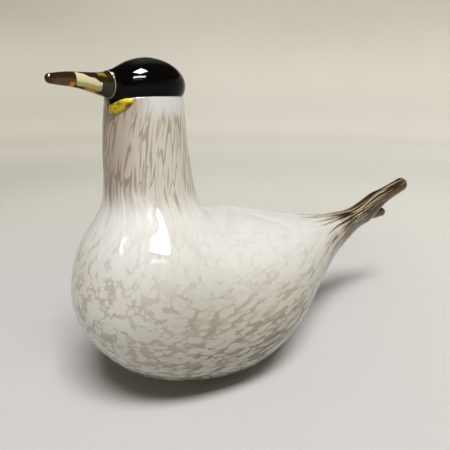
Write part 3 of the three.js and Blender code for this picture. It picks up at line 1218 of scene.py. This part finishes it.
@dataclass(frozen=True)
class PaleFloor:
    """The studio's pale floor and wall: cool near the bird and warmer far off, with painted light that makes
    the right side lighter and lays a pool of light to the right of the bird, and painted shade that dims the
    left and far up.

    A pair of reaches is how far out from the bird, a pair of heights how high up and a pair of sides how far
    to the right, in metres.
    """

    near: Colour = tint(196, 194, 191)
    middle_left: Colour = tint(196, 191, 180)
    middle_right: Colour = tint(217, 214, 203)
    far_left: Colour = tint(224, 219, 207)
    far_right: Colour = tint(233, 229, 218)
    cove_left: Colour = tint(212, 207, 195)
    cove_right: Colour = tint(222, 218, 207)
    lit: Colour = tint(220, 217, 208)
    wall: Colour = tint(204, 200, 189)
    dim_wall: Colour = tint(188, 182, 169)
    rightward: Triple = (0.81, -0.58, 0)
    middle_reach: Span = (0.08, 0.6)
    far_reach: Span = (0.75, 1.35)
    lit_reach: Span = (0.5, 1.2)
    cove_heights: Span = (0.0, 0.12)
    wall_heights: Span = (0.2, 0.6)
    dim_heights: Span = (0.3, 0.62)
    across_sides: Span = (-0.7, 0.1)
    lit_sides: Span = (0.0, 0.35)
    dim_sides: Span = (0.3, 1.1)

    def material(self) -> bpy.types.Material:
        """The finished material."""
        r = Recipe("floor")
        place = r.here()
        height = r.part_of(place, 2)
        away = Signal(r, r.vector("LENGTH", {0: place}, "Value"))
        side = Signal(r, r.vector("DOT_PRODUCT", {0: place, 1: self.rightward}, "Value"))
        cloud = (r.noise(place, 3.0) - 0.5) * 0.1
        # Painted light: the right side is lighter than the left.
        across = r.step(side, *self.across_sides)
        middle = r.blend(across, self.middle_left, self.middle_right)
        colour = r.blend(r.step(away + cloud, *self.middle_reach), self.near, middle)
        far = r.blend(across, self.far_left, self.far_right)
        colour = r.blend(r.step(away, *self.far_reach), colour, far)
        cove = r.blend(across, self.cove_left, self.cove_right)
        colour = r.blend(r.step(height, *self.cove_heights), colour, cove)
        # A painted pool of light near the bird on the right.
        lit = r.step(side - away * 0.2, *self.lit_sides) * (1 - r.step(away, *self.lit_reach))
        colour = r.blend(lit, colour, self.lit)
        colour = r.blend(r.step(height + cloud, *self.wall_heights), colour, self.wall)
        # Painted shade on the left of the wall, far up.
        dim = r.step(height, *self.dim_heights) * r.step(0 - side, *self.dim_sides)
        colour = r.blend(dim, colour, self.dim_wall)
        return r.finish({"Base Color": colour, "Roughness": 0.8, "Specular IOR Level": 0.0})


@dataclass(frozen=True)
class Lamp:
    """A flat lamp that faces the bird.

    azimuth is in degrees from +Y towards +X and elevation in degrees, distance and size are in metres, and
    power is in watts. A mirrored lamp shows in the gloss of the glass alone, and another lights all but it.
    """

    name: str
    azimuth: float
    elevation: float
    distance: float
    size: Span
    power: float
    colour: Colour = (1.0, 1.0, 1.0)
    mirrored: bool = True

    def hang(self, target: Vector) -> None:
        """Adds the lamp, turned towards a target."""
        data = bpy.data.lights.new(self.name, "AREA")
        data.shape = "RECTANGLE"
        data.size, data.size_y = self.size
        data.energy = self.power
        data.color = self.colour
        lamp = bpy.data.objects.new(self.name, data)
        turn, lift = math.radians(self.azimuth), math.radians(self.elevation)
        level = math.cos(lift)
        away = Vector((math.sin(turn) * level, math.cos(turn) * level, math.sin(lift)))
        lamp.location = target + away * self.distance
        lamp.rotation_euler = away.to_track_quat("Z", "Y").to_euler()
        lamp.visible_glossy = self.mirrored
        lamp.visible_diffuse = not self.mirrored
        bpy.context.scene.collection.objects.link(lamp)


@dataclass
class Studio:
    """A pale floor that curves up into a wall, the lamps and the camera."""

    eye: Vector = field(default_factory=lambda: Vector((-141.3, -215.8, 167.4)) * MM)
    pitch: float = math.radians(16.12)
    heading: float = math.radians(35.47)
    lens: float = 36.08
    sensor: float = 36.0
    floor_radius: float = 1.6
    floor_corners: int = 96
    cove: float = 0.6
    cove_steps: int = 12
    wall: float = 1.0
    lit_point: Vector = field(default_factory=lambda: Vector((0, 0, 0.09)))
    room: Colour = (1.0, 0.9, 0.74)
    room_light: float = 0.03
    lamps: tuple[Lamp, ...] = (
        Lamp("window", -132, 52.6, 1.2, (0.6, 0.18), 40),
        Lamp("lower_pane", -132, 40, 1.2, (0.5, 0.11), 0.8),
        Lamp("side_pane", -67, 31.5, 1.2, (0.13, 0.05), 0.14),
        Lamp("ceiling", -98, 77, 1.2, (0.44, 0.36), 80),
        Lamp("skylight", -161, 61, 4.0, (2.0, 0.9), 200, (0.985, 0.99, 1.0), False))

    def camera(self) -> None:
        """The camera at the angle of the photograph."""
        data = bpy.data.cameras.new("camera")
        data.sensor_width = self.sensor
        data.lens = self.lens
        camera = bpy.data.objects.new("camera", data)
        camera.location = self.eye
        camera.rotation_euler = (math.pi / 2 - self.pitch, 0, -self.heading)
        bpy.context.scene.collection.objects.link(camera)
        bpy.context.scene.camera = camera

    def floor(self) -> None:
        """A round floor that curves up into a wall all round."""
        deselect_everything()
        bpy.ops.mesh.primitive_circle_add(
            vertices=self.floor_corners, radius=self.floor_radius, fill_type="NGON")
        floor = bpy.context.object
        floor.name = "floor"
        bpy.ops.object.mode_set(mode="EDIT")
        bpy.ops.mesh.select_mode(type="EDGE")
        bpy.ops.mesh.select_all(action="DESELECT")
        mesh = bmesh.from_edit_mesh(floor.data)
        for edge in mesh.edges:
            edge.select = True
        bmesh.update_edit_mesh(floor.data)
        radius, height = self.floor_radius, 0.0
        for step in range(1, self.cove_steps + 1):
            angle = step / self.cove_steps * math.pi / 2
            wider = self.floor_radius + self.cove * math.sin(angle)
            higher = self.cove * (1 - math.cos(angle))
            bpy.ops.mesh.extrude_edges_move(TRANSFORM_OT_translate={"value": (0, 0, higher - height)})
            grow = (wider / radius, wider / radius, 1)
            bpy.ops.transform.resize(value=grow, center_override=(0, 0, higher))
            radius, height = wider, higher
        bpy.ops.mesh.extrude_edges_move(TRANSFORM_OT_translate={"value": (0, 0, self.wall - height)})
        deselect_everything()
        floor.data.materials.append(PaleFloor().material())
        make_active(floor)
        bpy.ops.object.shade_smooth()
        floor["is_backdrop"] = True

    def lights(self) -> None:
        """The lamps in a dim room."""
        for lamp in self.lamps:
            lamp.hang(self.lit_point)
        world = bpy.data.worlds.new("room")
        world.use_nodes = True
        background = world.node_tree.nodes["Background"]
        background.inputs["Color"].default_value = (*self.room, 1.0)
        background.inputs["Strength"].default_value = self.room_light
        bpy.context.scene.world = world

    def build(self) -> None:
        """Sets the whole stage."""
        self.camera()
        self.floor()
        self.lights()
        bpy.context.scene.view_settings.view_transform = "Standard"


def corners() -> list[list[float]]:
    """The lowest and highest corner of what is shown, as plain numbers."""
    return [list(corner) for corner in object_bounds()]


def main() -> None:
    """Builds the bird and its stage."""
    logging.basicConfig(level=logging.INFO, format="%(name)s: %(message)s")
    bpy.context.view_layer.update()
    Studio().build()
    neck = Neck()
    Body(neck).build()
    cap = Cap(neck)
    cap.build()
    Beak(neck, cap).build()
    ThroatDrop(neck).build()


if __name__ == "__main__":
    main()
